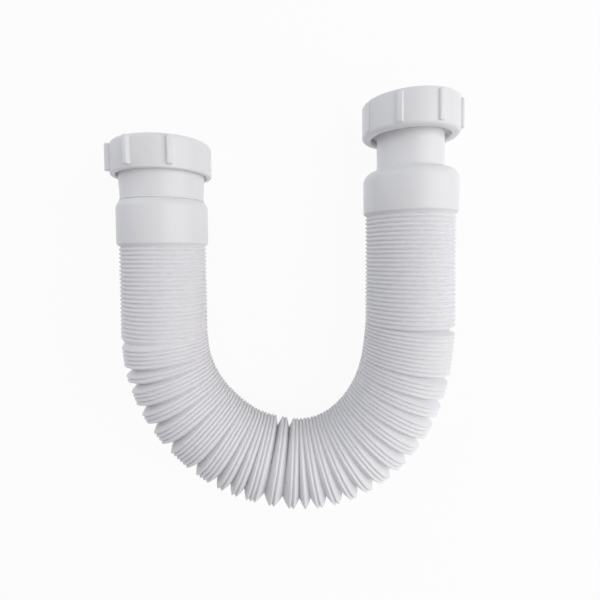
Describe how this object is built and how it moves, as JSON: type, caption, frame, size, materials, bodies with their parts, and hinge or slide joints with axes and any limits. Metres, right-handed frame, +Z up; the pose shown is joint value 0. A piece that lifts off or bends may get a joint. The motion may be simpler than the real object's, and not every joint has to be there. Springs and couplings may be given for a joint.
{
  "type": "flexible waste connector",
  "caption": "White concertina waste hose bent into a U, with a ribbed compression nut on a pipe socket and a loose ribbed union nut on a flanged tail.",
  "frame": {"origin": "middle of the part's outline, on the floor it lies on", "axes": "+Z up, +Y along both arms towards their open ends, -X towards the pipe end"},
  "size_m": [0.1882, 0.2204, 0.056],
  "materials": {
    "hose_plastic": "satin",
    "fitting_plastic": "satin",
    "seal_rubber": "matte"
  },
  "bodies": {
    "hose": {"bellows_hose": "hose_plastic"},
    "pipe_end": {"pipe_sleeve": "fitting_plastic", "compression_body": "fitting_plastic", "pipe_seal": "seal_rubber"},
    "slip_ring": {"slip_ring": "fitting_plastic"},
    "compression_nut": {"compression_nut": "fitting_plastic"},
    "union_end": {"union_tail": "fitting_plastic", "union_washer": "seal_rubber"},
    "union_nut": {"union_nut": "fitting_plastic"}
  },
  "joints": [
    {"name": "pipe_end_bend", "type": "hinge", "parent": "hose", "child": "pipe_end", "pos_m": [-0.08935, 0.01216, 0.02801], "axis": [0, 0, 1], "range_deg": [0, 45], "deforming": ["bellows_hose"]},
    {"name": "union_end_stretch", "type": "slide", "parent": "hose", "child": "union_end", "axis": [0, 1, 0], "range_m": [0, 0.09], "deforming": ["bellows_hose"]},
    {"name": "compression_nut_travel", "type": "slide", "parent": "pipe_end", "child": "slip_ring", "axis": [0, 1, 0], "range_m": [0, 0.009]},
    {"name": "compression_nut_turn", "type": "hinge", "parent": "slip_ring", "child": "compression_nut", "pos_m": [-0.06605, 0.0825, 0.02801], "axis": [0, 1, 0], "range_deg": [0, 1080]},
    {"name": "union_nut_spin", "type": "hinge", "parent": "union_end", "child": "union_nut", "pos_m": [0.06885, 0.10135, 0.02505], "axis": [0, 1, 0], "continuous": true}
  ],
  "couplings": [
    {"joint": "compression_nut_travel", "follows": "compression_nut_turn", "m_per_rad": 0.00047746}
  ]
}
